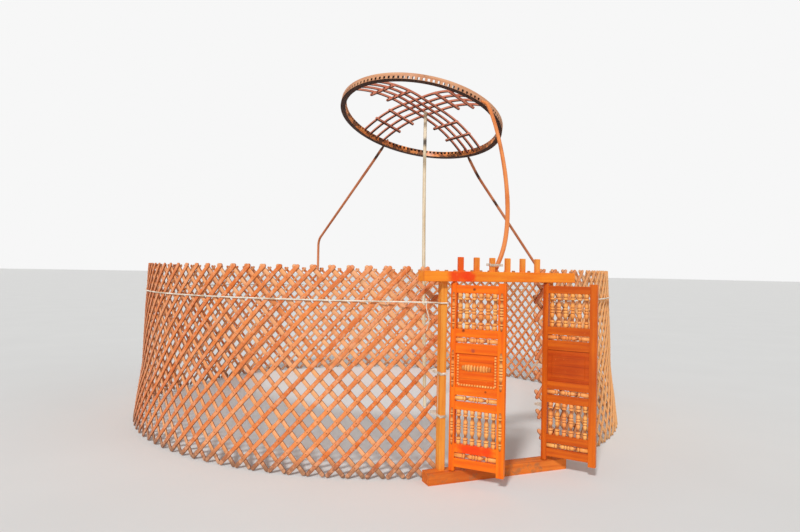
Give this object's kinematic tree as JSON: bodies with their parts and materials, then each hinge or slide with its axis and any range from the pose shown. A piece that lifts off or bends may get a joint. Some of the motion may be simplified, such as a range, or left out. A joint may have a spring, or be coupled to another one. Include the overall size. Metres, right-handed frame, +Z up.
{
  "type": "yurt frame",
  "caption": "Round yurt's bare timber frame: lattice wall, carved double door that opens, and a domed crown ring held up on poles.",
  "frame": {"origin": "middle of the threshold's underside, on the ground", "axes": "+Z up, the door faces -Y, +X to the right as one looks at the door from outside"},
  "size_m": [5.4566, 5.858, 3.6978],
  "materials": {
    "lattice_wood": "varnished lattice slats, weathered at the feet",
    "door_wood": "bright orange varnish",
    "turned_wood": "lighter varnished turned wood",
    "worn_wood": "worn varnish",
    "crown_wood": "reddish brown stained wood",
    "pole_wood": "thin tan varnish",
    "bare_wood": "bare peeled wood",
    "rope": "pale twisted rope"
  },
  "bodies": {
    "frame": {"kanat_1": "lattice_wood", "kanat_2": "lattice_wood", "kanat_3": "lattice_wood", "kanat_4": "lattice_wood", "kanat_5": "lattice_wood", "kanat_6": "lattice_wood", "kanat_7": "lattice_wood", "kanat_8": "lattice_wood", "threshold": "worn_wood", "post_left": "door_wood", "post_right": "door_wood", "lintel": "door_wood", "lintel_pegs": "door_wood", "ring_1": "crown_wood", "ring_2": "crown_wood", "ring_3": "crown_wood", "ring_4": "crown_wood", "ring_5": "crown_wood", "ring_6": "crown_wood", "ring_7": "crown_wood", "ring_8": "crown_wood", "crown_bars_a": "crown_wood", "crown_bars_b": "crown_wood", "crown_ties": "crown_wood", "pole_back": "pole_wood", "pole_right": "pole_wood", "pole_front": "pole_wood", "prop_pole": "bare_wood", "girth_rope": "rope", "post_ties": "rope", "pole_ties": "rope", "rope_tail": "rope"},
    "left_leaf": {"left_hinge_stile": "door_wood", "left_meeting_stile": "door_wood", "left_rails": "door_wood", "left_panel": "door_wood", "left_upper_spindles": "turned_wood", "left_lower_spindles": "turned_wood", "left_cross_spindles": "turned_wood"},
    "right_leaf": {"right_hinge_stile": "door_wood", "right_meeting_stile": "door_wood", "right_rails": "door_wood", "right_panel": "door_wood", "right_upper_spindles": "turned_wood", "right_lower_spindles": "turned_wood", "right_cross_spindles": "turned_wood"}
  },
  "joints": [
    {"name": "left_leaf_hinge", "type": "hinge", "parent": "frame", "child": "left_leaf", "pos_m": [-0.419, -0.025, 0.8], "axis": [0, 0, 1], "range_deg": [-97, 48]},
    {"name": "right_leaf_hinge", "type": "hinge", "parent": "frame", "child": "right_leaf", "pos_m": [0.419, -0.025, 0.8], "axis": [0, 0, 1], "range_deg": [-128, 17]}
  ]
}
